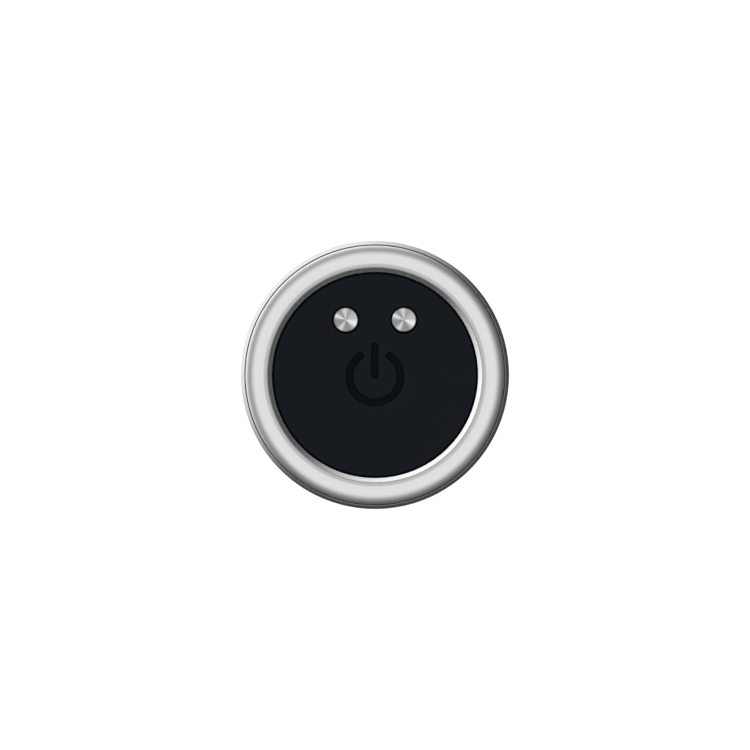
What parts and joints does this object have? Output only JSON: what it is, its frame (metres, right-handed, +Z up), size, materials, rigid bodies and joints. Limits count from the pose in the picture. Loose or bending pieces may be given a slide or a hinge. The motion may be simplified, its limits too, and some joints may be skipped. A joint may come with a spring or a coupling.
{
  "type": "sous vide circulator",
  "caption": "Slim stick immersion circulator with a steel head, a press-button face, a pot clip and a slotted twist-off skirt over its heater and impeller.",
  "frame": {"origin": "middle of the foot pad's flat underside", "axes": "+Z up the stick to the power button, +Y towards the pot clip and the cord's gland, +X to the right-hand key"},
  "size_m": [0.06, 0.06, 0.3],
  "materials": {
    "brushed_steel": "spun and brushed, bright",
    "stainless": "satin drawn stainless",
    "black_plastic": "fine matt texture",
    "black_tube": "satin black coating on aluminium",
    "rubber": "matt",
    "key_metal": "faced on a lathe, bright edge",
    "aluminium": "as extruded",
    "board_green": "solder mask",
    "component_black": "moulded",
    "component_blue": "moulded or sleeved",
    "copper": "enamelled copper windings and steel core",
    "magnet": "nickel plated",
    "white_plastic": "low-friction moulding"
  },
  "bodies": {
    "housing": {"bezel_ring": "brushed_steel", "head_shell": "brushed_steel", "motor_screw_1": "stainless", "motor_screw_2": "stainless", "motor_screw_3": "stainless", "motor_can": "stainless", "lower_bearing": "stainless", "upper_bearing": "stainless", "shaft_tube": "stainless", "heater_coil": "stainless", "temperature_probe": "stainless", "low_level_pin": "stainless", "high_level_pin": "stainless", "bracket_screw_1": "stainless", "bracket_screw_2": "stainless", "clip_pin": "stainless", "clip_spring": "stainless", "control_deck": "black_plastic", "head_base": "black_plastic", "bulkhead": "black_plastic", "motor_mount": "black_plastic", "motor_endcap": "black_plastic", "chassis": "black_plastic", "clip_bracket": "black_plastic", "body_tube": "black_tube", "face_seal": "rubber", "cord_gland": "rubber", "body_gasket": "rubber", "bulkhead_o_ring": "rubber", "shaft_seal": "rubber", "heat_sink": "aluminium", "control_board": "board_green", "power_board": "board_green", "power_switch": "component_black", "left_key_switch": "component_black", "right_key_switch": "component_black", "control_chip": "component_black", "buzzer": "component_black", "transformer": "component_black", "triac": "component_black", "relay": "component_blue", "capacitor": "component_blue", "shaft_bush": "white_plastic"},
    "power_button": {"power_button": "black_plastic"},
    "left_key": {"left_key": "key_metal"},
    "right_key": {"right_key": "key_metal"},
    "rotor": {"motor_rotor": "copper", "shaft_coupling": "aluminium", "drive_shaft": "stainless", "impeller": "black_plastic", "impeller_nut": "stainless"},
    "skirt": {"skirt_tube": "stainless", "skirt_collar": "black_plastic", "bottom_cap": "black_plastic", "foot_magnet": "magnet", "foot_pad": "rubber"},
    "clip": {"clip_arm": "black_plastic", "clip_pad": "rubber"}
  },
  "joints": [
    {"name": "power_press", "type": "slide", "parent": "housing", "child": "power_button", "axis": [0, 0, -1], "range_m": [0, 0.0007], "stiffness_N_per_m": 700, "springref_m": -0.0006},
    {"name": "left_key_press", "type": "slide", "parent": "housing", "child": "left_key", "axis": [0, 0, -1], "range_m": [0, 0.0005], "stiffness_N_per_m": 600, "springref_m": -0.0005},
    {"name": "right_key_press", "type": "slide", "parent": "housing", "child": "right_key", "axis": [0, 0, -1], "range_m": [0, 0.0005], "stiffness_N_per_m": 600, "springref_m": -0.0005},
    {"name": "impeller_spin", "type": "hinge", "parent": "housing", "child": "rotor", "pos_m": [0, 0, 0.09], "axis": [0, 0, 1], "continuous": true},
    {"name": "skirt_twist", "type": "hinge", "parent": "housing", "child": "skirt", "pos_m": [0, 0, 0.14], "axis": [0, 0, 1], "range_deg": [0, 30]},
    {"name": "clip_hinge", "type": "hinge", "parent": "housing", "child": "clip", "pos_m": [0, 0.025, 0.226], "axis": [1, 0, 0], "range_deg": [0, 20], "stiffness_Nm_per_rad": 0.25, "springref_deg": -20.05, "deforming": ["clip_spring"]}
  ]
}
